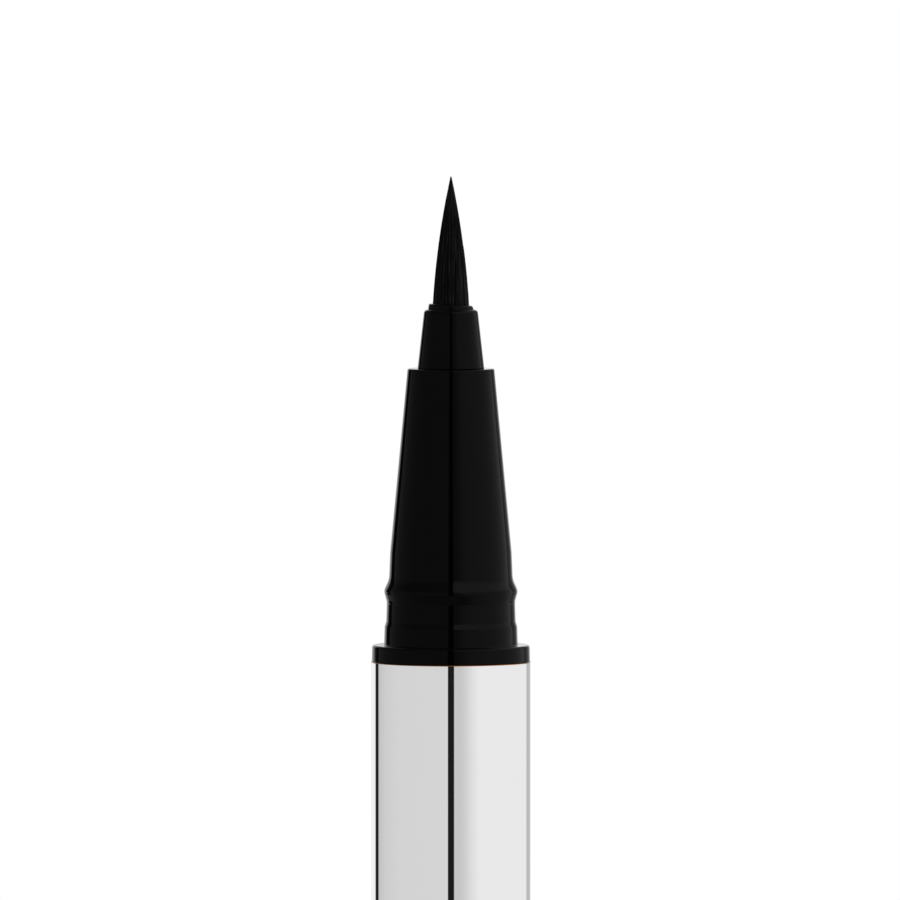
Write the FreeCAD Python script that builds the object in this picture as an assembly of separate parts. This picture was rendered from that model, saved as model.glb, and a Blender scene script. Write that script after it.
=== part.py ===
import FreeCAD, Part
import math
import os

# Liquid eyeliner pen with a brush tip, shown open with its cap pushed onto the tail.
# Millimetres, +Z towards the brush. The origin is on the pen's axis, in the end face of the cap,
# which is what the pen stands on.

Vector = FreeCAD.Vector
up = Vector(0, 0, 1)

# Fits
press_gap = 0.02
seat_gap = 0.02
slide_gap = 0.2
cut_overrun = 1.0

# Barrel: a bright metal sleeve over a plastic ink tank
barrel_diameter = 10.1
sleeve_length = 86.0
sleeve_wall = 0.35
sleeve_edge = 0.08
tank_wall = 0.75

# Snap on the front section, repeated on the tail: centring ring, waist and bead.
# Each inset is measured in from the barrel's surface.
flange_inset = 0.05
flange_height = 1.04
flange_edge = 0.12
ring_inset = 0.84
ring_height = 1.17
ring_chamfer = 0.32
waist_inset = 0.975
waist_height = 1.24
bead_inset = 0.84
bead_lower_ramp = 0.69
bead_upper_ramp = 0.79
bead_land = 0.24
foot_inset = 1.14

# Front section: the cone above the snap, and the spigot that plugs the tank.
# The shares here and below are of the barrel's diameter.
neck_length = 1.7
cone_base_inset = 1.21
cone_length = 11.55
cone_top_share = 0.543
cone_edge = 0.12
spigot_length = 7.0
section_wall = 1.1
shoulder_width = 0.45

# Tip sleeve: the small cone that stands on the front section
tip_base_share = 0.418
tip_top_share = 0.335
tip_length = 3.72
tip_edge = 0.16
stem_share = 0.356
stem_length = 5.5

# Brush holder: a thin tube whose lip shows round the root of the brush
lip_share = 0.287
lip_height = 0.38
lip_skew_deg = 2.6
holder_share = 0.261
holder_length = 6.8

# Brush
brush_share = 0.228
brush_length = 8.01
brush_bulge_share = 0.0155
brush_point_diameter = 0.06
brush_step_shares = (0, 0.4, 0.75, 1)

# Feed: a fibre core through a finned collector
core_share = 0.149
core_gap = 0.02
core_tail = 3.0
collector_length = 14.0
collector_tube_wall = 0.5
collector_head_height = 1.4
collector_nose_length = 1.5
fin_count = 5
fin_height = 0.6
fin_gap = 0.05
ink_slit_width = 0.25
air_slot_width = 0.9

# Tail plug and the ball that stirs the ink
tail_flange_height = 1.0
tail_taper_length = 1.8
tail_end_inset = 1.4
tail_end_edge = 0.45
plug_length = 7.0
plug_core_share = 0.515
plug_floor = 1.0
dish_half_angle_deg = 60.0
ball_diameter = 2.0
ball_gap = 0.03

# Cap: a drawn metal shell over a plastic liner
cap_end_wall = 0.45
cap_end_edge = 0.5
mouth_gap = 0.08
ridge_gap = 0.02
ridge_width = 0.9
ridge_ramp = 0.25
nose_gap = 0.12
liner_ramp = 0.4
liner_rear_wall_share = 0.064
liner_shoulder_height = 0.8

# Seal cup: the sprung inner cap that closes over the brush
seal_squeeze = 0.8
seal_travel = 2.0
cup_gap = 0.2
cup_wall_share = 0.054
cup_floor = 0.7
cup_end_edge = 0.6
cup_flange_height = 0.8
rim_wall = 0.42
rim_reach = 1.05
brush_room = 1.0
end_room = 1.5

# Spring behind the seal cup, and its seat
spring_length = 7.0
spring_turns = 3
wire_flats = 5
wire_diameter = 0.4
spring_grind = 0.08
seat_base = 1.2

# Radii that follow from the sizes above
barrel_r = barrel_diameter / 2
sleeve_bore_r = barrel_r - sleeve_wall
tank_r = sleeve_bore_r - press_gap
tank_bore_r = tank_r - tank_wall
plug_r = tank_bore_r - press_gap
flange_r = barrel_r - flange_inset
ring_r = barrel_r - ring_inset
waist_r = barrel_r - waist_inset
bead_r = barrel_r - bead_inset
foot_r = barrel_r - foot_inset
cone_base_r = barrel_r - cone_base_inset
cone_top_r = barrel_r * cone_top_share
section_bore_r = plug_r - section_wall
throat_r = section_bore_r - shoulder_width
stem_r = barrel_r * stem_share
stem_bore_r = stem_r + press_gap
tip_base_r = barrel_r * tip_base_share
tip_top_r = barrel_r * tip_top_share
lip_r = barrel_r * lip_share
holder_r = barrel_r * holder_share
holder_bore_r = holder_r + press_gap
brush_r = barrel_r * brush_share
brush_bulge = barrel_diameter * brush_bulge_share
brush_bore_r = brush_r + press_gap
brush_point_r = brush_point_diameter / 2
core_r = barrel_r * core_share
core_bore_r = core_r + core_gap
fin_r = section_bore_r - fin_gap
tube_r = core_bore_r + collector_tube_wall
tail_end_r = barrel_r - tail_end_inset
plug_core_r = barrel_r * plug_core_share
ball_r = ball_diameter / 2
liner_r = sleeve_bore_r - press_gap
mouth_r = ring_r + mouth_gap
ridge_r = bead_r + ridge_gap
liner_bore_r = foot_r + nose_gap
liner_rear_r = liner_r - barrel_diameter * liner_rear_wall_share
shoulder_hole_r = cone_top_r + cup_gap
cup_bore_r = tip_base_r + cup_gap
cup_r = cup_bore_r + barrel_diameter * cup_wall_share
rim_r = cup_bore_r + rim_wall
cup_flange_r = liner_rear_r - slide_gap
seat_r = liner_rear_r - press_gap
seat_bore_r = cup_r + slide_gap
wire_r = wire_diameter / 2
spring_r = (seat_bore_r + seat_r) / 2

# Depths inside the cap, measured from its mouth
snap_length = ring_height + ring_chamfer + waist_height + bead_lower_ramp + bead_upper_ramp
ridge_depth = ring_height + ring_chamfer + waist_height / 2
ledge_depth = snap_length + neck_length + cone_length
rim_depth = ledge_depth - seal_squeeze
cup_flange_depth = rim_depth + rim_reach
cup_back_depth = cup_flange_depth + cup_flange_height
spring_end_depth = cup_back_depth + spring_length
cup_floor_depth = rim_depth + tip_length + lip_height + brush_length + brush_room
cup_end_depth = cup_floor_depth + cup_floor
seat_face_depth = cup_end_depth + seal_travel + end_room
seat_end_depth = seat_face_depth + seat_base
cap_length = seat_end_depth + seat_gap + cap_end_wall

# Heights of the pen above the cap
tail_face = cap_length + seat_gap
sleeve_bottom = tail_face + tail_flange_height
sleeve_top = sleeve_bottom + sleeve_length
flange_top = sleeve_top + flange_height
cone_bottom = flange_top + snap_length + neck_length
cone_top = cone_bottom + cone_length
stem_bottom = cone_top - stem_length
tip_top = cone_top + tip_length
holder_bottom = tip_top - holder_length
lip_top = tip_top + lip_height
brush_point = lip_top + brush_length
spigot_bottom = sleeve_top - spigot_length
collector_rear = cone_bottom - collector_length
core_rear = collector_rear - core_tail
tail_end = tail_face - snap_length - tail_taper_length
plug_top = sleeve_bottom + plug_length
dish_point = tail_end + plug_floor


def turned(corners):
    """Solid turned about the Z axis from the corners of its half section.

    A corner is (radius, height), or (radius, height, bevel) where a bevel takes it off.
    """
    points = [Vector(corner[0], 0, corner[1]) for corner in corners]
    outline = []
    for index, corner in enumerate(corners):
        point = points[index]
        if len(corner) == 2:
            outline.append(point)
            continue
        bevel = corner[2]
        back = (points[index - 1] - point).normalize()
        on = (points[(index + 1) % len(points)] - point).normalize()
        outline += [point + back * bevel, point + on * bevel]
    return Part.Face(Part.makePolygon(outline + outline[:1])).revolve(Vector(), up, 360)


def in_cap(depth):
    """Height of a place inside the cap, given its depth from the cap's mouth."""
    return cap_length - depth


def snap_corners(face, way):
    """Ring, waist and bead that the cap clicks over, going away from a flange's face.

    way is 1 where they rise above the face and -1 where they hang below it.
    """
    ring_end = face + way * ring_height
    waist_start = ring_end + way * ring_chamfer
    waist_end = waist_start + way * waist_height
    crest = waist_end + way * bead_lower_ramp
    foot = crest + way * bead_upper_ramp
    return [
        (ring_r, face),
        (ring_r, ring_end),
        (waist_r, waist_start),
        (waist_r, waist_end),
        (bead_r, crest - way * bead_land / 2),
        (bead_r, crest + way * bead_land / 2),
        (foot_r, foot),
    ]


def make_barrel_sleeve():
    return turned([
        (sleeve_bore_r, sleeve_bottom),
        (barrel_r, sleeve_bottom, sleeve_edge),
        (barrel_r, sleeve_top, sleeve_edge),
        (sleeve_bore_r, sleeve_top),
    ])


def make_ink_tank():
    return turned([
        (tank_bore_r, sleeve_bottom),
        (tank_r, sleeve_bottom),
        (tank_r, sleeve_top),
        (tank_bore_r, sleeve_top),
    ])


def make_front_section():
    return turned([
        (section_bore_r, spigot_bottom),
        (plug_r, spigot_bottom),
        (plug_r, sleeve_top),
        (flange_r, sleeve_top),
        (flange_r, flange_top, flange_edge),
        *snap_corners(flange_top, 1),
        (cone_base_r, cone_bottom),
        (cone_top_r, cone_top, cone_edge),
        (stem_bore_r, cone_top),
        (stem_bore_r, stem_bottom),
        (throat_r, stem_bottom),
        (throat_r, cone_bottom),
        (section_bore_r, cone_bottom),
    ])


def make_tip_sleeve():
    return turned([
        (core_bore_r, stem_bottom),
        (stem_r, stem_bottom),
        (stem_r, cone_top),
        (tip_base_r, cone_top),
        (tip_top_r, tip_top, tip_edge),
        (holder_bore_r, tip_top),
        (holder_bore_r, holder_bottom),
        (core_bore_r, holder_bottom),
    ])


def make_brush_holder():
    tube = turned([
        (brush_bore_r, holder_bottom),
        (holder_r, holder_bottom),
        (holder_r, tip_top),
        (lip_r, tip_top),
        (lip_r, lip_top),
        (brush_bore_r, lip_top),
    ])
    # The lip is trimmed a little askew, lower towards +X
    trim_side = 2 * lip_r + cut_overrun
    trim = Part.makeBox(trim_side, trim_side, lip_height, Vector(0, -trim_side / 2, 0))
    trim.rotate(Vector(), Vector(0, 1, 0), lip_skew_deg)
    trim.translate(Vector(-lip_r, 0, lip_top))
    return tube.cut(trim)


def make_brush_tip():
    """Bundle of bristles: a straight root in the holder, then a flank that swells by a parabola."""
    corners = [(0, holder_bottom), (brush_r, holder_bottom)]
    for share in brush_step_shares:
        swell = 4 * brush_bulge * share * (1 - share)
        radius = brush_r + (brush_point_r - brush_r) * share + swell
        corners.append((radius, lip_top + brush_length * share))
    corners.append((0, brush_point))
    return turned(corners)


def make_feed_core():
    return turned([
        (0, core_rear),
        (core_r, core_rear),
        (core_r, holder_bottom),
        (0, holder_bottom),
    ])


def make_collector():
    """Tube with a comb of fins that holds back surplus ink, slit on one side and vented on the other."""
    head_bottom = cone_bottom - collector_head_height
    pitch = (head_bottom - collector_rear) / fin_count
    corners = [(core_bore_r, collector_rear)]
    for fin in range(fin_count):
        fin_bottom = collector_rear + fin * pitch
        fin_top = fin_bottom + fin_height
        corners += [(fin_r, fin_bottom), (fin_r, fin_top)]
        corners += [(tube_r, fin_top), (tube_r, fin_bottom + pitch)]
    corners += [
        (fin_r, head_bottom),
        (fin_r, cone_bottom),
        (throat_r - fin_gap, cone_bottom),
        (throat_r - fin_gap, cone_bottom + collector_nose_length),
        (core_bore_r, cone_bottom + collector_nose_length),
    ]
    comb = turned(corners)
    # The slit and the slot stop at the head, which seats on the section's shoulder
    cut_bottom = collector_rear - cut_overrun
    cut_length = head_bottom - cut_bottom
    cut_reach = fin_r + cut_overrun
    slit_corner = Vector(0, -ink_slit_width / 2, cut_bottom)
    slot_corner = Vector(-tube_r - cut_reach, -air_slot_width / 2, cut_bottom)
    ink_slit = Part.makeBox(cut_reach, ink_slit_width, cut_length, slit_corner)
    air_slot = Part.makeBox(cut_reach, air_slot_width, cut_length, slot_corner)
    return comb.cut(ink_slit).cut(air_slot)


def make_mixing_ball():
    seat_height = (ball_r + ball_gap) / math.sin(math.radians(dish_half_angle_deg))
    return Part.makeSphere(ball_r, Vector(0, 0, dish_point + seat_height))


def make_tail_plug():
    dish_depth = plug_core_r / math.tan(math.radians(dish_half_angle_deg))
    return turned([
        (0, dish_point),
        (plug_core_r, dish_point + dish_depth),
        (plug_core_r, plug_top),
        (plug_r, plug_top),
        (plug_r, sleeve_bottom),
        (flange_r, sleeve_bottom),
        (flange_r, tail_face, flange_edge),
        *snap_corners(tail_face, -1),
        (tail_end_r, tail_end, tail_end_edge),
        (0, tail_end),
    ])


def make_cap_shell():
    return turned([
        (0, 0),
        (barrel_r, 0, cap_end_edge),
        (barrel_r, cap_length, sleeve_edge),
        (sleeve_bore_r, cap_length),
        (sleeve_bore_r, cap_end_wall),
        (0, cap_end_wall),
    ])


def make_cap_liner():
    liner_end = in_cap(seat_end_depth)
    shoulder_back = cup_flange_depth - seat_gap
    shoulder_front = shoulder_back - liner_shoulder_height
    ridge_top = ridge_depth - ridge_width / 2
    ridge_bottom = ridge_depth + ridge_width / 2
    return turned([
        (liner_rear_r, liner_end),
        (liner_rear_r, in_cap(shoulder_back)),
        (shoulder_hole_r, in_cap(shoulder_back)),
        (shoulder_hole_r, in_cap(shoulder_front)),
        (liner_bore_r, in_cap(shoulder_front)),
        (liner_bore_r, in_cap(snap_length + liner_ramp)),
        (mouth_r, in_cap(snap_length)),
        (mouth_r, in_cap(ridge_bottom)),
        (ridge_r, in_cap(ridge_bottom - ridge_ramp)),
        (ridge_r, in_cap(ridge_top + ridge_ramp)),
        (mouth_r, in_cap(ridge_top)),
        (mouth_r, cap_length),
        (liner_r, cap_length),
        (liner_r, liner_end),
    ])


def make_seal_cup():
    return turned([
        (0, in_cap(cup_end_depth)),
        (cup_r, in_cap(cup_end_depth), cup_end_edge),
        (cup_r, in_cap(cup_back_depth)),
        (cup_flange_r, in_cap(cup_back_depth)),
        (cup_flange_r, in_cap(cup_flange_depth)),
        (rim_r, in_cap(cup_flange_depth)),
        (rim_r, in_cap(rim_depth)),
        (cup_bore_r, in_cap(rim_depth)),
        (cup_bore_r, in_cap(cup_floor_depth)),
        (0, in_cap(cup_floor_depth)),
    ])


def make_spring_seat():
    return turned([
        (0, in_cap(seat_end_depth)),
        (seat_r, in_cap(seat_end_depth)),
        (seat_r, in_cap(spring_end_depth)),
        (seat_bore_r, in_cap(spring_end_depth)),
        (seat_bore_r, in_cap(seat_face_depth)),
        (0, in_cap(seat_face_depth)),
    ])


def arc_from(start, tangent, end):
    """Arc that leaves start along tangent and ends at end."""
    chord = end - start
    lean = tangent.getAngle(chord)
    sideways = tangent - chord * (tangent.dot(chord) / chord.dot(chord))
    middle = (start + end) / 2 + sideways.normalize() * (chord.Length / 2 * math.tan(lean / 2))
    return Part.Arc(start, middle, end).toShape()


def helix_path(radius, bottom, rise, turns):
    """Wire of biarcs along a helix, one pair of arcs to each quarter turn."""
    steps = round(4 * turns)
    angles = [2 * math.pi * turns * step / steps for step in range(steps + 1)]
    points = [
        Vector(radius * math.cos(a), radius * math.sin(a), bottom + rise * step / steps)
        for step, a in enumerate(angles)
    ]
    slope = rise / (2 * math.pi * turns)
    tangents = [
        Vector(-radius * math.sin(a), radius * math.cos(a), slope).normalize()
        for a in angles
    ]
    edges = []
    for step in range(steps):
        start, end = points[step], points[step + 1]
        leaving, arriving = tangents[step], tangents[step + 1]
        chord = end - start
        along = chord.dot(leaving + arriving)
        bend = 2 * (1 - leaving.dot(arriving))
        reach = (math.sqrt(along * along + bend * chord.dot(chord)) - along) / bend
        join = (start + end + (leaving - arriving) * reach) / 2
        edges.append(arc_from(start, leaving, join))
        edges.append(arc_from(end, arriving * -1, join))
    return Part.Wire(Part.sortEdges(edges)[0])


def make_seal_spring():
    """Helical spring with ground ends. Flats stand for the round of its thin wire."""
    bottom = in_cap(spring_end_depth)
    line_bottom = bottom + wire_r - spring_grind
    line_rise = spring_length - wire_diameter + 2 * spring_grind
    path = helix_path(spring_r, line_bottom, line_rise, spring_turns)
    start = path.OrderedVertexes[0].Point
    first = path.OrderedEdges[0]
    along = first.tangentAt(first.FirstParameter)
    across = along.cross(up).normalize()
    upright = across.cross(along)
    angles = [2 * math.pi * flat / wire_flats for flat in range(wire_flats + 1)]
    corners = [
        start + across * (wire_r * math.cos(a)) + upright * (wire_r * math.sin(a))
        for a in angles
    ]
    coil = path.makePipeShell([Part.makePolygon(corners)], True, False)
    slab_side = 2 * (spring_r + wire_diameter)
    slab_corner = Vector(-slab_side / 2, -slab_side / 2, bottom)
    slab = Part.makeBox(slab_side, slab_side, spring_length - seat_gap, slab_corner)
    turn_gap = line_rise / spring_turns - wire_diameter
    print("spring: gap between turns %.2f mm, wire length %.1f mm" % (turn_gap, path.Length))
    return coil.common(slab)


nodes = {
    "brush_tip": make_brush_tip(),
    "brush_holder": make_brush_holder(),
    "tip_sleeve": make_tip_sleeve(),
    "front_section": make_front_section(),
    "collector": make_collector(),
    "feed_core": make_feed_core(),
    "ink_tank": make_ink_tank(),
    "barrel_sleeve": make_barrel_sleeve(),
    "mixing_ball": make_mixing_ball(),
    "tail_plug": make_tail_plug(),
    "cap_shell": make_cap_shell(),
    "cap_liner": make_cap_liner(),
    "seal_cup": make_seal_cup(),
    "seal_spring": make_seal_spring(),
    "spring_seat": make_spring_seat(),
}

os.makedirs("parts", exist_ok=True)
for name, shape in nodes.items():
    shape.exportStep(os.path.join("parts", name + ".step"))
    found = (name, shape.isValid(), len(shape.Solids), shape.Volume)
    print("%-14s valid %s, solids %d, volume %.2f mm3" % found)
print("length %.2f mm, cap %.2f mm" % (brush_point, cap_length))
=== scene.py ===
import math
import random

import bpy
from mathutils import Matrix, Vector


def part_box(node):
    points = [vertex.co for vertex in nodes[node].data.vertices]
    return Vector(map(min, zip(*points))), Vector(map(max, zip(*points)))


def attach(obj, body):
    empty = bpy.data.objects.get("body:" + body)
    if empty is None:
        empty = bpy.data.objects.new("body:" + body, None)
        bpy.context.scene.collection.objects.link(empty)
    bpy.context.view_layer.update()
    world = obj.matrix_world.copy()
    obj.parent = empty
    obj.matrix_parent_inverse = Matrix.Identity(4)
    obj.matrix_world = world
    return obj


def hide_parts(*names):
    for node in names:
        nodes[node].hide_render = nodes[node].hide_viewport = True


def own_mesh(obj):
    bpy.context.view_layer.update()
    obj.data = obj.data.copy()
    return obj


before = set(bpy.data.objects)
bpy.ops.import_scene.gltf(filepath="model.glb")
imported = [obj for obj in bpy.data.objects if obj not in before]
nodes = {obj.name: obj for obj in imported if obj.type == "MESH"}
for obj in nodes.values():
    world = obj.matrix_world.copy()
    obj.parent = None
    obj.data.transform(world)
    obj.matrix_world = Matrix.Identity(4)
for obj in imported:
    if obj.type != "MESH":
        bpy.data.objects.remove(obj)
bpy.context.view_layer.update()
scene = bpy.context.scene
mm = 0.001
micron = 0.001 * mm
print("pen: frame loaded with", len(nodes), "nodes")


# one socket of a node tree, so that shader maths reads as plain Python
class Wire:
    def __init__(self, tree, socket=None):
        self.tree = tree
        self.socket = socket

    def node(self, kind, settings=None, sockets=None, out=0):
        made = self.tree.nodes.new(kind)
        for name, value in (settings or {}).items():
            if name == "stops":
                elements = made.color_ramp.elements
                while len(elements) < len(value):
                    elements.new(1)
                for element, (place, colour) in zip(elements, value):
                    element.position = place
                    element.color = colour
            else:
                setattr(made, name, value)
        for name, value in (sockets or {}).items():
            if isinstance(value, Wire):
                self.tree.links.new(value.socket, made.inputs[name])
            else:
                made.inputs[name].default_value = value
        return Wire(self.tree, made.outputs[out])

    def beside(self, out):  # another output of the same node
        return Wire(self.tree, self.socket.node.outputs[out])

    def into(self, shader, name):
        self.tree.links.new(self.socket, shader.inputs[name])

    def calc(self, operation, first, second=0):
        return self.node("ShaderNodeMath", {"operation": operation}, {0: first, 1: second})

    def __add__(self, other):
        return self.calc("ADD", self, other)

    def __radd__(self, other):
        return self.calc("ADD", other, self)

    def __sub__(self, other):
        return self.calc("SUBTRACT", self, other)

    def __rsub__(self, other):
        return self.calc("SUBTRACT", other, self)

    def __mul__(self, other):
        return self.calc("MULTIPLY", self, other)

    def __rmul__(self, other):
        return self.calc("MULTIPLY", other, self)

    def __truediv__(self, other):
        return self.calc("DIVIDE", self, other)

    def __rtruediv__(self, other):
        return self.calc("DIVIDE", other, self)

    def between(self, low, high):  # 0 below low, 1 above high, smooth from one to the other
        return self.node("ShaderNodeMapRange", {"interpolation_type": "SMOOTHSTEP"},
                         {"Value": self, "From Min": low, "From Max": high})

    def blend(self, dark, light):  # colour from dark at 0 to light at 1, by the sockets for colour
        return self.node("ShaderNodeMix", {"data_type": "RGBA"}, {0: self, 6: dark, 7: light}, 2)


def grey(value):
    return (value, value, value, 1)


def newFinish(name, constants):
    material = bpy.data.materials.new(name)
    material.use_nodes = True
    shader = material.node_tree.nodes["Principled BSDF"]
    for socket, value in constants.items():
        shader.inputs[socket].default_value = value
    return material, shader, Wire(material.node_tree)


def objectPlace(wire, stretch=(1, 1, 1)):  # place on the piece in metres, stretched along the axes
    place = wire.node("ShaderNodeTexCoord", out="Object")
    return wire.node("ShaderNodeVectorMath", {"operation": "MULTIPLY"}, {0: place, 1: stretch})


def noiseOn(place, scale, detail):
    return place.node("ShaderNodeTexNoise", {}, {"Vector": place, "Scale": scale, "Detail": detail}, "Fac")


def bumpFrom(height, relief):
    return height.node("ShaderNodeBump", {}, {"Height": height, "Distance": relief, "Strength": 1}, "Normal")


# places on a CAD node, in millimetres
def top(node):
    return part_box(node)[1].z / mm


def bottom(node):
    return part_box(node)[0].z / mm


def reach(node):  # outer radius of a turned node
    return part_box(node)[1].x / mm


# how finely the turned pieces are cut; two points closer than same, in metres, are one
lathe = {"steps": 192, "smallSteps": 128, "longSteps": 256, "arcSteps": 6, "sharpAngle": 40, "same": 1e-9}


def circle(steps):
    angles = [2 * math.pi * step / steps for step in range(steps)]
    return [(math.cos(angle), math.sin(angle)) for angle in angles]


# corners of a half section are (radius, height) or (radius, height, rounding), counter-clockwise;
# gives points with the surface's own direction, and a sharp corner comes twice
def roundedOutline(corners):
    points = [Vector(corner[:2]) for corner in corners]
    arcSteps = lathe["arcSteps"]
    outline = []
    for index, corner in enumerate(corners):
        here = points[index]
        arriving = (here - points[index - 1]).normalized()
        leaving = (points[(index + 1) % len(points)] - here).normalized()
        startOut = Vector((arriving.y, -arriving.x))
        endOut = Vector((leaving.y, -leaving.x))
        if len(corner) == 2:
            outline += [(here, startOut), (here, endOut)]
            continue
        rounding = corner[2]
        turn = math.atan2(arriving.x * leaving.y - arriving.y * leaving.x, arriving.dot(leaving))
        side = 1 if turn > 0 else -1
        setback = rounding * math.tan(abs(turn) / 2)
        centre = here - arriving * setback - startOut * (side * rounding)
        startAngle = math.atan2(startOut.y, startOut.x)
        for step in range(arcSteps + 1):
            angle = startAngle + turn * step / arcSteps
            facing = Vector((math.cos(angle), math.sin(angle)))
            outline.append((centre + facing * (side * rounding), facing))
    return outline


# spins a half section, in millimetres, round the pen's axis; reshape moves the points afterwards
def turned(name, corners, steps=lathe["steps"], reshape=None):
    outline = roundedOutline([tuple(value * mm for value in corner) for corner in corners])
    spins = circle(steps)
    places, rings, lastPoint = [], [], None
    for point, _ in outline:
        if lastPoint is not None and (point - lastPoint).length < lathe["same"]:
            rings.append(rings[-1])
        elif point.x < lathe["same"]:
            rings.append([len(places)])
            places.append((0, 0, point.y))
        else:
            rings.append(list(range(len(places), len(places) + steps)))
            places += [(point.x * c, point.x * s, point.y) for c, s in spins]
        lastPoint = point
    if (outline[0][0] - lastPoint).length < lathe["same"]:
        rings[-1] = rings[0]
    faces, facings = [], []
    for index in range(len(outline)):
        following = (index + 1) % len(outline)
        low, high = rings[index], rings[following]
        if low is high or (len(low) == 1 and len(high) == 1):
            continue
        lowOut, highOut = outline[index][1], outline[following][1]
        for k in range(steps):
            onward = (k + 1) % steps
            loop = [(low, k, lowOut), (low, onward, lowOut), (high, onward, highOut), (high, k, highOut)]
            if len(low) == 1:
                loop.pop(1)
            elif len(high) == 1:
                loop.pop(2)
            faces.append([ring[spin % len(ring)] for ring, spin, out in loop])
            facings += [(out.x * spins[spin][0], out.x * spins[spin][1], out.y) for ring, spin, out in loop]
    if reshape:
        places = [reshape(*place) for place in places]
    mesh = bpy.data.meshes.new(name)
    mesh.from_pydata(places, [], faces)
    mesh.polygons.foreach_set("use_smooth", [True] * len(faces))
    if reshape:
        mesh.set_sharp_from_angle(angle=math.radians(lathe["sharpAngle"]))
    else:
        mesh.normals_split_custom_set(facings)
    return mesh


def tubeFaces(first, stations, sides):  # quads along a run of rings, then its far and its near end
    faces = []
    for station in range(stations):
        low = first + station * sides
        for side in range(sides):
            onward = (side + 1) % sides
            faces.append([low + side, low + onward, low + sides + onward, low + sides + side])
    last = first + stations * sides
    faces.append([last + side for side in range(sides)])
    faces.append([first + side for side in reversed(range(sides))])
    return faces


def tubeMesh(name, places, faces):  # the quads are smooth, and the ends stay flat
    mesh = bpy.data.meshes.new(name)
    mesh.from_pydata(places, [], faces)
    mesh.polygons.foreach_set("use_smooth", [len(face) == 4 for face in faces])
    return mesh


def addPiece(name, mesh, body, finish, replaced):
    piece = bpy.data.objects.new(name, mesh)
    scene.collection.objects.link(piece)
    mesh.materials.append(finish)
    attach(piece, body)
    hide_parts(replaced)
    return piece


def dress(node, finish):  # a CAD node that stays, in a better finish
    mesh = nodes[node].data
    mesh.materials.clear()
    mesh.materials.append(finish)


# gloss black of the nose and the tail
glossBlack = {"dark": 0.0003, "light": 0.0007, "gloss": 0.05, "haze": 0.05, "reflection": 0.06,
              "cloudScale": 900, "poreScale": 9000, "poreShare": 0.6, "relief": 1.2 * micron}


def makeGlossBlack():
    look = glossBlack
    finish, shader, wire = newFinish("glossBlackPlastic", {"Specular IOR Level": look["reflection"]})
    place = objectPlace(wire)
    cloud = noiseOn(place, look["cloudScale"], detail=4)  # faint flow clouds of the moulding
    pores = noiseOn(place, look["poreScale"], detail=2)
    cloud.blend(grey(look["dark"]), grey(look["light"])).into(shader, "Base Color")
    (look["gloss"] + look["haze"] * cloud * pores).into(shader, "Roughness")
    bumpFrom(pores * look["poreShare"] + cloud, look["relief"]).into(shader, "Normal")
    return finish


glossBlackPlastic = makeGlossBlack()

# satin black of the brush holder
holderBlack = {"dark": 0.0005, "light": 0.0012, "satin": 0.12, "grain": 0.06, "reflection": 0.06,
               "grainScale": 14000, "relief": 3 * micron}


def makeHolderBlack():
    look = holderBlack
    finish, shader, wire = newFinish("holderBlackPlastic", {"Specular IOR Level": look["reflection"]})
    grain = noiseOn(objectPlace(wire), look["grainScale"], detail=3)
    grain.blend(grey(look["dark"]), grey(look["light"])).into(shader, "Base Color")
    (look["satin"] + look["grain"] * grain).into(shader, "Roughness")
    bumpFrom(grain, look["relief"]).into(shader, "Normal")
    return finish


holderBlackPlastic = makeHolderBlack()

# moulded black inside the cap
linerBlack = {"dark": 0.008, "light": 0.016, "satin": 0.35, "marks": 0.15, "reflection": 0.35,
              "grainScale": 7000, "markScale": 5000, "markStretch": 0.06, "relief": 4 * micron}


def makeLinerBlack():
    look = linerBlack
    finish, shader, wire = newFinish("linerBlackPlastic", {"Specular IOR Level": look["reflection"]})
    grain = noiseOn(objectPlace(wire), look["grainScale"], detail=3)
    along = objectPlace(wire, (1, 1, look["markStretch"]))
    drawMarks = noiseOn(along, look["markScale"], detail=2)  # drawn off the core pin
    grain.blend(grey(look["dark"]), grey(look["light"])).into(shader, "Base Color")
    (look["satin"] + look["marks"] * drawMarks).into(shader, "Roughness")
    bumpFrom(grain + drawMarks, look["relief"]).into(shader, "Normal")
    return finish


linerBlackPlastic = makeLinerBlack()

# mirror metal of the barrel and the cap, with a warm line at a trimmed mouth
brightMetal = {"tone": 0.93, "shade": 0.915, "gloss": 0.012, "haze": 0.02,
               "polishScale": 700, "polishStretch": 14, "smudgeScale": 160, "relief": 0.4 * micron,
               "trimTone": (0.3, 0.12, 0.04, 1), "trimWidth": 0.045, "trimFade": 0.018, "trimHaze": 0.2}


def makeBrightMetal(name, mouth):
    look = brightMetal
    finish, shader, wire = newFinish(name, {"Metallic": 1})
    place = objectPlace(wire)
    height = wire.node("ShaderNodeSeparateXYZ", {}, {0: place}, "Z")
    squeezed = objectPlace(wire, (1, 1, look["polishStretch"]))
    polish = noiseOn(squeezed, look["polishScale"], detail=3)  # runs round the tube, as it was polished
    smudge = noiseOn(place, look["smudgeScale"], detail=3)
    trimEdge = mouth - look["trimWidth"]
    trim = height.between((trimEdge - look["trimFade"]) * mm, trimEdge * mm)
    tone = polish.blend(grey(look["shade"]), grey(look["tone"]))
    trim.blend(tone, look["trimTone"]).into(shader, "Base Color")
    (look["gloss"] + look["haze"] * smudge * polish + look["trimHaze"] * trim).into(shader, "Roughness")
    bumpFrom(polish, look["relief"]).into(shader, "Normal")
    return finish


barrelMetal = makeBrightMetal("brightBarrelMetal", top("barrel_sleeve"))
capMetal = makeBrightMetal("brightCapMetal", top("cap_shell"))

# milky plastic of the tank, the collector and the seal cup
milkyPlastic = {"dark": (0.72, 0.73, 0.71, 1), "light": (0.83, 0.84, 0.82, 1), "satin": 0.38, "grain": 0.12,
                "cloudScale": 500, "grainScale": 8000, "relief": 4 * micron,
                "milk": 0.15, "milkDepth": 0.5 * mm}


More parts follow.
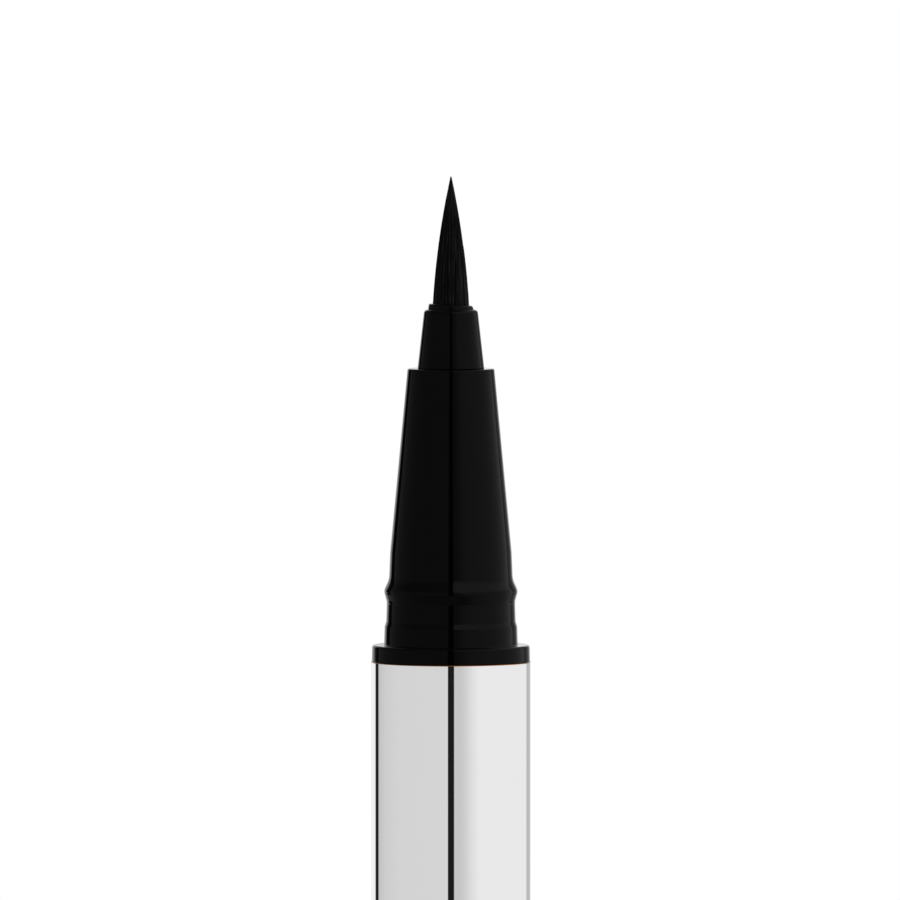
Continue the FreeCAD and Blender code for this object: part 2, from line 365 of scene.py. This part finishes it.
def makeMilkyPlastic():
    look = milkyPlastic
    milk = {"Subsurface Weight": look["milk"], "Subsurface Scale": look["milkDepth"]}
    finish, shader, wire = newFinish("milkyPlastic", milk)
    place = objectPlace(wire)
    cloud = noiseOn(place, look["cloudScale"], detail=4)
    grain = noiseOn(place, look["grainScale"], detail=2)
    cloud.blend(look["dark"], look["light"]).into(shader, "Base Color")
    (look["satin"] + look["grain"] * grain).into(shader, "Roughness")
    bumpFrom(grain, look["relief"]).into(shader, "Normal")
    return finish


milkyFinish = makeMilkyPlastic()

# drawn steel of the spring and the ball
drawnSteel = {"tone": 0.62, "shade": 0.5, "gloss": 0.16, "scratch": 0.2,
              "scratchScale": 6000, "scratchStretch": 6, "cloudScale": 1500, "relief": 2 * micron}


def makeDrawnSteel():
    look = drawnSteel
    finish, shader, wire = newFinish("drawnSteel", {"Metallic": 1})
    scratch = noiseOn(objectPlace(wire, (1, 1, look["scratchStretch"])), look["scratchScale"], detail=3)
    cloud = noiseOn(objectPlace(wire), look["cloudScale"], detail=2)
    cloud.blend(grey(look["shade"]), grey(look["tone"])).into(shader, "Base Color")
    (look["gloss"] + look["scratch"] * scratch * cloud).into(shader, "Roughness")
    bumpFrom(scratch, look["relief"]).into(shader, "Normal")
    return finish


steelFinish = makeDrawnSteel()

# bundled fibre of the feed core, wet with ink
feedFibre = {"dark": 0.006, "light": 0.035, "contrast": 2, "dull": 0.55, "fuzz": 0.25, "reflection": 0.3,
             "strandScale": 12000, "strandStretch": 0.03, "patchScale": 900, "relief": 20 * micron}


def makeFeedFibre():
    look = feedFibre
    finish, shader, wire = newFinish("feedFibre", {"Specular IOR Level": look["reflection"]})
    strands = noiseOn(objectPlace(wire, (1, 1, look["strandStretch"])), look["strandScale"], detail=3)
    patches = noiseOn(objectPlace(wire), look["patchScale"], detail=3)
    pale = strands * patches * look["contrast"]
    pale.blend(grey(look["dark"]), grey(look["light"])).into(shader, "Base Color")
    (look["dull"] + look["fuzz"] * strands).into(shader, "Roughness")
    bumpFrom(strands, look["relief"]).into(shader, "Normal")
    return finish


feedFinish = makeFeedFibre()

# black bristles; streaks along the locks get a painted sheen, a lighter base colour up to light, and are
# glossier there too
bristleBlack = {"dark": 0.0002, "light": 0.012, "gloss": 0.18, "dull": 0.16, "reflection": 0.055,
                "lockScale": 7, "hairScale": 24, "lockShare": 0.55, "alongScale": 40, "paintedSheen": (0.46, 0.66),
                "relief": 6 * micron}


def makeBristleBlack():
    look = bristleBlack
    finish, shader, wire = newFinish("bristleBlack", {"Specular IOR Level": look["reflection"]})
    across = objectPlace(wire, (1, 1, 0))
    around = wire.node("ShaderNodeVectorMath", {"operation": "NORMALIZE"}, {0: across})  # drawn to the point
    along = objectPlace(wire, (0, 0, look["alongScale"]))
    place = wire.node("ShaderNodeVectorMath", {"operation": "ADD"}, {0: around, 1: along})
    locks = noiseOn(place, look["lockScale"], detail=2)
    hairs = noiseOn(place, look["hairScale"], detail=2)
    # painted sheen: streaks of lighter base colour along the locks, which also make them glossier
    paintedSheen = (locks * look["lockShare"] + hairs * (1 - look["lockShare"])).between(*look["paintedSheen"])
    paintedSheen.blend(grey(look["dark"]), grey(look["light"])).into(shader, "Base Color")
    (look["gloss"] + look["dull"] * (1 - paintedSheen)).into(shader, "Roughness")
    bumpFrom(hairs, look["relief"]).into(shader, "Normal")
    return finish


bristleFinish = makeBristleBlack()
print("pen: finishes made")

# where the frame has the pieces, in millimetres
sleeveTop = top("barrel_sleeve")
sleeveBottom = bottom("barrel_sleeve")
coneTop = top("front_section")
tipTop = top("tip_sleeve")
lipTop = top("brush_holder")
brushPoint = top("brush_tip")
holderBottom = bottom("brush_holder")
stemBottom = bottom("tip_sleeve")
spigotBottom = bottom("front_section")
capMouth = top("cap_shell")
linerEnd = bottom("cap_liner")
tailEnd = bottom("tail_plug")
plugTop = top("tail_plug")
springTop = top("seal_spring")
springFoot = bottom("seal_spring")
barrelRadius = reach("barrel_sleeve")
flangeRadius = reach("front_section")
tipRadius = reach("tip_sleeve")
lipRadius = reach("brush_holder")
brushRadius = reach("brush_tip")
linerRadius = reach("cap_liner")
springRadius = reach("seal_spring")

# snap ring, waist and bead, in millimetres, the same on the nose and on the tail
snap = {"ring": 4.21, "waist": 4.07, "bead": 4.21, "crown": 0.035, "foot": 3.91, "draft": 0.02,
        "ringHeight": 1.17, "chamfer": 0.32, "waistHeight": 1.24, "lowerRamp": 0.69, "upperRamp": 0.73,
        "corner": 0.06, "ringRound": 0.14, "waistRound": 0.25, "rampRound": 0.9, "beadRound": 0.58,
        "footRound": 1.3}


def snapCorners(face, way):
    ringEnd = face + way * snap["ringHeight"]
    waistStart = ringEnd + way * snap["chamfer"]
    waistEnd = waistStart + way * snap["waistHeight"]
    crest = waistEnd + way * snap["lowerRamp"]
    foot = crest + way * snap["upperRamp"]
    return [
        (snap["ring"] + snap["draft"], face, snap["corner"]),
        (snap["ring"] - snap["draft"], ringEnd, snap["ringRound"]),
        (snap["waist"] + snap["draft"], waistStart, snap["waistRound"]),
        (snap["waist"] - snap["draft"], waistEnd, snap["rampRound"]),
        (snap["bead"] + snap["crown"], crest, snap["beadRound"]),
        (snap["foot"], foot, snap["footRound"]),
    ]


# front section: spigot, flange, snap and the large cone
frontSection = {"spigot": 3.91, "spigotRound": 0.15, "bore": 2.81, "throat": 2.36, "flangeHeight": 1.04,
                "flangeRound": 0.16, "flangeFoot": 0.05, "neck": 1.7, "coneBase": 3.84, "neckRound": 3.0,
                "coneTopRadius": 2.742, "coneRound": 0.11, "stemBore": 1.82, "stemBoreRound": 0.03}


def makeFrontSection():
    size = frontSection
    flangeTop = sleeveTop + size["flangeHeight"]
    snapRun = snapCorners(flangeTop, 1)
    coneBottom = snapRun[-1][1] + size["neck"]  # up from the foot of the bead
    return turned("frontSection", [
        (size["bore"], spigotBottom),
        (size["spigot"], spigotBottom, size["spigotRound"]),
        (size["spigot"], sleeveTop),
        (flangeRadius, sleeveTop, size["flangeFoot"]),
        (flangeRadius - snap["draft"], flangeTop, size["flangeRound"]),
        *snapRun,
        (size["coneBase"], coneBottom, size["neckRound"]),
        (size["coneTopRadius"], coneTop, size["coneRound"]),
        (size["stemBore"], coneTop, size["stemBoreRound"]),
        (size["stemBore"], stemBottom),
        (size["throat"], stemBottom),
        (size["throat"], coneBottom),
        (size["bore"], coneBottom),
    ])


addPiece("frontSection", makeFrontSection(), "pen", glossBlackPlastic, "front_section")

# tip sleeve: the small cone on its stem
tipSleeve = {"stem": 1.798, "stemRound": 0.1, "top": 1.69, "topRound": 0.23, "baseRound": 0.04,
             "holderBore": 1.338, "holderBoreRound": 0.02, "coreBore": 0.772}


def makeTipSleeve():
    size = tipSleeve
    return turned("tipSleeve", [
        (size["coreBore"], stemBottom),
        (size["stem"], stemBottom, size["stemRound"]),
        (size["stem"], coneTop),
        (tipRadius, coneTop, size["baseRound"]),
        (size["top"], tipTop, size["topRound"]),
        (size["holderBore"], tipTop, size["holderBoreRound"]),
        (size["holderBore"], holderBottom),
        (size["coreBore"], holderBottom),
    ], lathe["smallSteps"])


addPiece("tipSleeve", makeTipSleeve(), "pen", glossBlackPlastic, "tip_sleeve")

# brush holder: its lip is trimmed askew, lower and more worn towards +X
brushHolder = {"bore": 1.171, "boreRound": 0.03, "tube": 1.318, "tubeSlack": 0.01, "lipRound": 0.09,
               "lipCrown": 0.14, "skew": 2.6, "wearLeft": 0.05, "wearRight": 0.1}


def makeBrushHolder():
    size = brushHolder
    slope = math.tan(math.radians(size["skew"]))

    def askew(x, y, z):
        share = max(0, (z / mm - tipTop) / (lipTop - tipTop))
        radius = math.hypot(x, y) / mm
        inset = 0
        if radius > size["tube"] + size["tubeSlack"]:
            wear = size["wearLeft"] if x < 0 else size["wearRight"]
            inset = wear * (x / mm / radius) ** 2 * share
        shrink = (radius - inset) / radius
        return x * shrink, y * shrink, z - slope * (x + lipRadius * mm) * share

    return turned("brushHolder", [
        (size["bore"], holderBottom),
        (size["tube"], holderBottom),
        (size["tube"], tipTop),
        (lipRadius, tipTop),
        (lipRadius, lipTop - size["lipCrown"]),
        (lipRadius, lipTop, size["lipRound"]),
        (size["bore"], lipTop, size["boreRound"]),
    ], lathe["smallSteps"], askew)


addPiece("brushHolder", makeBrushHolder(), "pen", holderBlackPlastic, "brush_holder")
print("pen: nose turned")

# brush: locks of tapered bristles over a fine core, all drawn to one point
brush = {"point": 0.04, "bulge": 0.157, "locks": 30, "lockShift": 0.12, "perLock": 3, "layers": 2,
         "layerDepth": 0.07, "groove": 0.07, "unevenness": 0.012, "pinch": 0.45, "sway": 0.05, "gather": 0.8,
         "thickness": 0.066, "thicknessSpread": (0.85, 1.1), "taper": 3.2, "thinning": 0.3, "tipShare": 0.06,
         "rooted": 0.12, "shortest": 0.28, "longest": 0.998, "stations": 16, "sides": 6, "seed": 7}
brushCore = {"share": 0.88, "tipGain": 0.08, "rings": 24, "sides": 48}


def brushOutline(share):  # radius from the lip at 0 to the point at 1, bulging in the middle
    return brushRadius + (brush["point"] - brushRadius) * share + 4 * brush["bulge"] * share * (1 - share)


def brushHeight(share):
    return lipTop + (brushPoint - lipTop) * share


def bristlePlaces(angle, lockAngle, depth, end, thickness, sway):
    places = []
    start = -brush["rooted"]  # rooted below the lip
    for station in range(brush["stations"] + 1):
        along = station / brush["stations"]
        share = start + (end - start) * along
        shown = max(0, share)
        tapered = max(brush["tipShare"], 1 - along ** brush["taper"])
        thin = thickness * tapered * (1 - brush["thinning"] * along)
        centreRadius = max(0, brushOutline(shown) - thin - depth * (1 - brush["gather"] * shown))
        turn = angle + (lockAngle - angle) * brush["pinch"] * shown + sway * along
        for c, s in circle(brush["sides"]):
            outward = centreRadius + thin * c
            across = thin * s
            x = outward * math.cos(turn) - across * math.sin(turn)
            y = outward * math.sin(turn) + across * math.cos(turn)
            places.append((x * mm, y * mm, brushHeight(share) * mm))
    return places


def corePlaces():  # fills the bundle
    places = []
    for ring in range(brushCore["rings"] + 1):
        share = ring / brushCore["rings"]
        radius = brushOutline(share) * (brushCore["share"] + brushCore["tipGain"] * share)
        height = brushHeight(share) if ring else holderBottom
        places += [(radius * c * mm, radius * s * mm, height * mm) for c, s in circle(brushCore["sides"])]
    return places


def makeBristles():
    dice = random.Random(brush["seed"])
    locks, perLock = brush["locks"], brush["perLock"]
    count = locks * perLock
    places, faces = [], []
    for layer in range(brush["layers"]):
        ends = [(k + dice.random()) / count for k in range(count)]
        dice.shuffle(ends)
        for lock in range(locks):
            shift = dice.uniform(-brush["lockShift"], brush["lockShift"])
            lockAngle = 2 * math.pi * (lock + layer / 2 + shift) / locks
            for hair in range(perLock):
                offset = (hair + 0.5) / perLock - 0.5
                angle = lockAngle + 2 * math.pi * offset / locks
                groove = brush["groove"] * (2 * abs(offset)) ** 2 + dice.uniform(0, brush["unevenness"])
                reached = math.sqrt(ends[lock * perLock + hair])
                end = brush["shortest"] + (1 - brush["shortest"]) * reached
                thickness = brush["thickness"] * dice.uniform(*brush["thicknessSpread"])
                sway = dice.uniform(-brush["sway"], brush["sway"])
                faces += tubeFaces(len(places), brush["stations"], brush["sides"])
                places += bristlePlaces(angle, lockAngle, groove + layer * brush["layerDepth"],
                                        min(end, brush["longest"]), thickness, sway)
    faces += tubeFaces(len(places), brushCore["rings"], brushCore["sides"])
    places += corePlaces()
    return tubeMesh("brushBristles", places, faces)


addPiece("brushBristles", makeBristles(), "pen", bristleFinish, "brush_tip")
print("pen: brush made")

# barrel sleeve
barrelSleeve = {"wall": 0.35, "edge": 0.06, "burr": 0.03}


def makeBarrelSleeve():
    size = barrelSleeve
    bore = barrelRadius - size["wall"]
    return turned("barrelSleeve", [
        (bore, sleeveBottom, size["burr"]),
        (barrelRadius, sleeveBottom, size["edge"]),
        (barrelRadius, sleeveTop, size["edge"]),
        (bore, sleeveTop, size["burr"]),
    ], lathe["longSteps"])


addPiece("barrelSleeve", makeBarrelSleeve(), "pen", barrelMetal, "barrel_sleeve")

# tail plug, with the snap that the cap is posted on and a dish for the ball
tailPlug = {"plug": 3.91, "plugRound": 0.15, "core": 2.6, "coreRound": 0.1, "floor": 1.0, "dishAngle": 60,
            "flangeHeight": 1.0, "flangeRound": 0.16, "flangeFoot": 0.05, "end": 3.65, "endRound": 0.45}


def makeTailPlug():
    size = tailPlug
    tailFace = sleeveBottom - size["flangeHeight"]
    dishPoint = tailEnd + size["floor"]
    dishEdge = dishPoint + size["core"] / math.tan(math.radians(size["dishAngle"]))
    return turned("tailPlug", [
        (0, tailEnd),
        (size["end"], tailEnd, size["endRound"]),
        *reversed(snapCorners(tailFace, -1)),
        (flangeRadius - snap["draft"], tailFace, size["flangeRound"]),
        (flangeRadius, sleeveBottom, size["flangeFoot"]),
        (size["plug"], sleeveBottom),
        (size["plug"], plugTop, size["plugRound"]),
        (size["core"], plugTop, size["coreRound"]),
        (size["core"], dishEdge),
        (0, dishPoint),
    ])


addPiece("tailPlug", makeTailPlug(), "pen", glossBlackPlastic, "tail_plug")

# cap: drawn shell and moulded liner
capShell = {"wall": 0.35, "endWall": 0.45, "endRound": 0.6, "insideRound": 0.15, "mouthEdge": 0.08,
            "burr": 0.03}


def makeCapShell():
    size = capShell
    bore = barrelRadius - size["wall"]
    return turned("capShell", [
        (0, 0),
        (barrelRadius, 0, size["endRound"]),
        (barrelRadius, capMouth, size["mouthEdge"]),
        (bore, capMouth, size["burr"]),
        (bore, size["endWall"], size["insideRound"]),
        (0, size["endWall"]),
    ], lathe["longSteps"])


addPiece("capShell", makeCapShell(), "cap", capMetal, "cap_shell")

capLiner = {"mouth": 4.29, "mouthRound": 0.12, "mouthEdge": 0.03, "endRound": 0.1, "ridge": 4.23,
            "ridgeDepth": 2.11, "ridgeWidth": 0.9, "ridgeRamp": 0.25, "ridgeRound": 0.3, "rampRound": 0.2,
            "snapLength": 4.21, "ramp": 0.4, "bore": 4.03, "shoulder": 2.942, "shoulderDepth": 17.69,
            "shoulderHeight": 0.8, "shoulderRound": 0.1, "rear": 4.034}


def makeCapLiner():
    size = capLiner
    shoulderBack = capMouth - size["shoulderDepth"]
    shoulderFront = shoulderBack + size["shoulderHeight"]
    ridgeHigh = capMouth - size["ridgeDepth"] + size["ridgeWidth"] / 2
    ridgeLow = ridgeHigh - size["ridgeWidth"]
    snapEnd = capMouth - size["snapLength"]
    return turned("capLiner", [
        (size["rear"], linerEnd),
        (linerRadius, linerEnd, size["endRound"]),
        (linerRadius, capMouth, size["mouthEdge"]),
        (size["mouth"], capMouth, size["mouthRound"]),
        (size["mouth"], ridgeHigh, size["rampRound"]),
        (size["ridge"], ridgeHigh - size["ridgeRamp"], size["ridgeRound"]),
        (size["ridge"], ridgeLow + size["ridgeRamp"], size["ridgeRound"]),
        (size["mouth"], ridgeLow, size["rampRound"]),
        (size["mouth"], snapEnd, size["rampRound"]),
        (size["bore"], snapEnd - size["ramp"], size["rampRound"]),
        (size["bore"], shoulderFront, size["shoulderRound"]),
        (size["shoulder"], shoulderFront, size["shoulderRound"]),
        (size["shoulder"], shoulderBack, size["shoulderRound"]),
        (size["rear"], shoulderBack),
    ])


addPiece("capLiner", makeCapLiner(), "cap", linerBlackPlastic, "cap_liner")

# seal spring: round wire, ends ground flat, pressed as the seal cup goes in
sealSpring = {"wire": 0.2, "turns": 3, "grind": 0.08, "travel": 2.0, "perTurn": 48, "sides": 12}
springLength = springTop - springFoot


def makeSealSpring():
    size = sealSpring
    coilRadius = springRadius - size["wire"]
    lineFoot = springFoot + size["wire"] - size["grind"]
    rise = springLength - 2 * (size["wire"] - size["grind"])
    stations = size["turns"] * size["perTurn"]
    turn = circle(size["perTurn"])
    places = []
    for station in range(stations + 1):
        turnCos, turnSin = turn[station % size["perTurn"]]
        height = lineFoot + rise * station / stations
        for c, s in circle(size["sides"]):
            radius = coilRadius + size["wire"] * c
            z = min(springTop, max(springFoot, height - size["wire"] * s))
            places.append((radius * turnCos * mm, radius * turnSin * mm, z * mm))
    return tubeMesh("sealSpring", places, tubeFaces(0, stations, size["sides"]))


springPiece = addPiece("sealSpring", makeSealSpring(), "cap", steelFinish, "seal_spring")
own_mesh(springPiece)

for node in ("ink_tank", "collector", "seal_cup"):
    dress(node, milkyFinish)
dress("feed_core", feedFinish)
dress("mixing_ball", steelFinish)
dress("spring_seat", linerBlackPlastic)
print("pen: barrel, tail, cap and insides done")

# pale floor that fades out into the white, in metres
floor = {"radius": 0.3, "spokes": 96, "drop": 0.0002, "tone": 0.9, "dull": 0.7, "fade": (0.1, 0.291)}


def makeFloor():
    size = floor
    rim = [(size["radius"] * c, size["radius"] * s, 0) for c, s in circle(size["spokes"])]
    mesh = bpy.data.meshes.new("floor")
    mesh.from_pydata(rim, [], [list(range(size["spokes"]))])
    plain = {"Base Color": grey(size["tone"]), "Roughness": size["dull"]}
    finish, shader, wire = newFinish("paleFloor", plain)
    place = objectPlace(wire)
    away = place.node("ShaderNodeVectorMath", {"operation": "LENGTH"}, {0: place}, "Value")
    (1 - away.between(*size["fade"])).into(shader, "Alpha")
    mesh.materials.append(finish)
    piece = bpy.data.objects.new("floor", mesh)
    scene.collection.objects.link(piece)
    piece.location.z = -size["drop"]
    piece.visible_glossy = False  # so that the metal shows the studio from above too


makeFloor()

# studio: panels all round in tiers, each with the rise of sight over which it takes over from the one below,
# and its stops as (degrees to the right of the camera, brightness)
nosePanels = [
    (-180, 0.95), (-152, 0.92), (-148.5, 0.015), (-134, 0.015), (-131, 0.29), (-112, 0.37), (-88, 0.505),
    (-64, 0.6), (-40, 0.65), (-2, 0.65), (2, 0.53), (12, 0.6), (20, 0.9), (26, 1.08), (36, 1.16), (60, 1.22),
    (92, 1.11), (120, 0.92), (132.5, 0.93), (136, 0.26), (155, 0.38), (160, 1), (180, 1.1)]
studio = {
    "tiers": [
        ((-2, -1), [  # low, under the bead
            (-180, 1), (-146, 1), (-136, 0.4), (-120, 0.33), (-80, 0.48), (-40, 0.53), (26, 0.5), (34, 0.62),
            (44, 0.88), (60, 1), (88, 1), (104, 0.82), (134, 0.7), (138, 0.42), (156, 0.6), (162, 1)]),
        ((-0.29, -0.19), nosePanels),  # where the bead curves back to the waist
        ((-0.085, -0.075), [  # level, in the barrel
            (-180, 0.93), (-142.8, 0.93), (-139.4, 0.01), (-130.8, 0.01), (-128.4, 0.58), (-109, 0.66),
            (-80, 0.705), (-2, 0.715), (2, 0.605), (14, 0.612), (22.6, 0.69), (28.6, 0.77), (38, 0.85),
            (42, 0.885), (139, 0.875), (143, 0.51), (161, 0.53), (166, 0.95), (180, 0.98)]),
        ((-0.053, -0.043), nosePanels),  # a little higher, in the nose
        ((0.15, 0.6), [  # high, over the bead
            (-180, 1), (-140, 0.1), (-64, 0.35), (-40, 0.45), (-2, 0.45), (2, 1.4), (14, 1.8), (40, 1.8),
            (80, 1.5), (120, 1.2), (132.5, 1.1), (136, 0.3), (180, 1)]),
    ],
    "slot": {"left": -4.38, "right": 4.54, "edge": 0.35, "lowest": (-0.3, -0.24), "tone": 0.012},
    "overhead": {"rise": (0.75, 0.95), "tone": 0.5},
    "softbox": {"size": 0.8, "energy": 1.2, "place": (0.15, -0.1, 0.7)},
}


def makePanels(wire):  # brightness of the studio in the direction that a ray leaves in
    direction = wire.node("ShaderNodeTexCoord", out="Generated")
    across = wire.node("ShaderNodeSeparateXYZ", {}, {0: direction}, "X")
    forward = across.beside("Y")
    rise = across.beside("Z")
    share = wire.calc("ARCTAN2", across, 0 - forward) / (2 * math.pi) + 0.5  # of the way round, front at 0.5
    degrees = (share - 0.5) * 360
    panels = grey(0)
    for (low, high), stops in studio["tiers"]:
        stops = [(place / 360 + 0.5, grey(bright)) for place, bright in stops]
        tier = wire.node("ShaderNodeValToRGB", {"stops": stops}, {0: share}, "Color")
        panels = rise.between(low, high).blend(panels, tier)
    slot = studio["slot"]  # dark gap in front, which the camera looks through
    gap = degrees.between(slot["left"] - slot["edge"], slot["left"] + slot["edge"])
    gap = gap * (1 - degrees.between(slot["right"] - slot["edge"], slot["right"] + slot["edge"]))
    panels = (gap * rise.between(*slot["lowest"])).blend(panels, grey(slot["tone"]))
    overhead = studio["overhead"]
    return rise.between(*overhead["rise"]).blend(panels, grey(overhead["tone"]))


def makeStudio():
    world = bpy.data.worlds.new("studio")
    scene.world = world
    world.use_nodes = True
    tree = world.node_tree
    tree.nodes.clear()
    wire = Wire(tree)
    lighting = wire.node("ShaderNodeBackground", {}, {"Color": makePanels(wire)})
    backdrop = wire.node("ShaderNodeBackground", {}, {"Color": grey(1)})
    seen = wire.node("ShaderNodeLightPath", out="Is Camera Ray")
    shown = wire.node("ShaderNodeMixShader", {}, {0: seen, 1: lighting, 2: backdrop})
    output = tree.nodes.new("ShaderNodeOutputWorld")
    shown.into(output, "Surface")


def makeSoftbox():  # lights the floor, and keeps out of the gloss
    lamp = bpy.data.lights.new("softbox", "AREA")
    lamp.size = studio["softbox"]["size"]
    lamp.energy = studio["softbox"]["energy"]
    softbox = bpy.data.objects.new("softbox", lamp)
    softbox.location = studio["softbox"]["place"]
    softbox.visible_glossy = False
    scene.collection.objects.link(softbox)


makeStudio()
makeSoftbox()

# camera: a long lens a little above the nose; tall is what the picture takes in at the pen
view = {"aim": (-0.06 * mm, 0, 136.01 * mm), "elevation": 2.6, "distance": 1.2, "tall": 56.8 * mm,
        "sensor": 36, "clipStart": 0.05, "clipEnd": 20}


def makeCamera():
    lens = bpy.data.cameras.new("camera")
    camera = bpy.data.objects.new("camera", lens)
    scene.collection.objects.link(camera)
    lens.sensor_width = view["sensor"]
    lens.lens = view["sensor"] * view["distance"] / view["tall"]
    lens.clip_start = view["clipStart"]
    lens.clip_end = view["clipEnd"]
    lift = math.radians(view["elevation"])
    back = Vector((0, -math.cos(lift), math.sin(lift)))
    camera.location = Vector(view["aim"]) + back * view["distance"]
    camera.rotation_euler = (-back).to_track_quat("-Z", "Y").to_euler()
    scene.camera = camera


makeCamera()
scene.view_settings.view_transform = "Standard"
scene.view_settings.look = "None"
print("pen: floor, studio and camera set")
